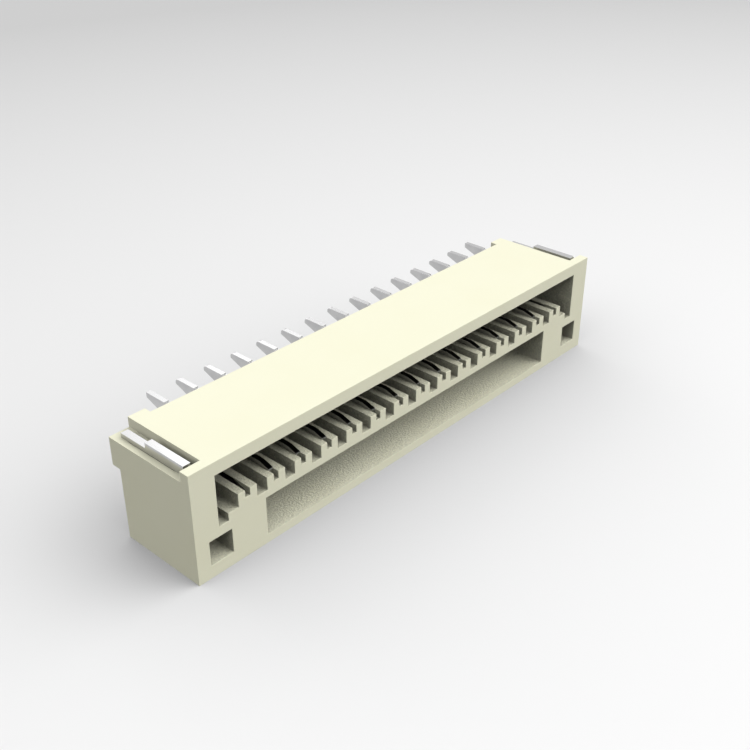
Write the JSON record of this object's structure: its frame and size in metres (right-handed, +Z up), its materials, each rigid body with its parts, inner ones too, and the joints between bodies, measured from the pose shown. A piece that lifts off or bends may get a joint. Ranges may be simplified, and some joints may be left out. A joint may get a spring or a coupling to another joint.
{
  "type": "wire-to-board header",
  "caption": "Side-entry surface-mount header for a small wire-to-board plug: ivory moulded housing with a comb of stamped contacts and a solder tab at each end.",
  "frame": {"origin": "centre of the footprint's box on the resting face, which is the broad flat face that points away from the circuit board when the header is in use", "axes": "+X along the row of contacts, +Y from the plug mouth to the solder feet, +Z up from the resting face to the side that is soldered to the board; this is the way up in the picture, and the header is turned over about X to be mounted"},
  "size_m": [0.022, 0.005, 0.0043],
  "materials": {
    "housing_plastic": "ivory heat-resistant nylon, as moulded",
    "contact_metal": "matt tin plating over stamped copper alloy, so it looks silvery grey",
    "tab_metal": "matt tin plating over stamped copper alloy, so it looks silvery grey"
  },
  "bodies": {
    "root": {"housing": "housing_plastic", "contact_01": "contact_metal", "contact_02": "contact_metal", "contact_03": "contact_metal", "contact_04": "contact_metal", "contact_05": "contact_metal", "contact_06": "contact_metal", "contact_07": "contact_metal", "contact_08": "contact_metal", "contact_09": "contact_metal", "contact_10": "contact_metal", "contact_11": "contact_metal", "contact_12": "contact_metal", "contact_13": "contact_metal", "contact_14": "contact_metal", "contact_15": "contact_metal", "solder_tab_left": "tab_metal", "solder_tab_right": "tab_metal"}
  },
  "joints": []
}
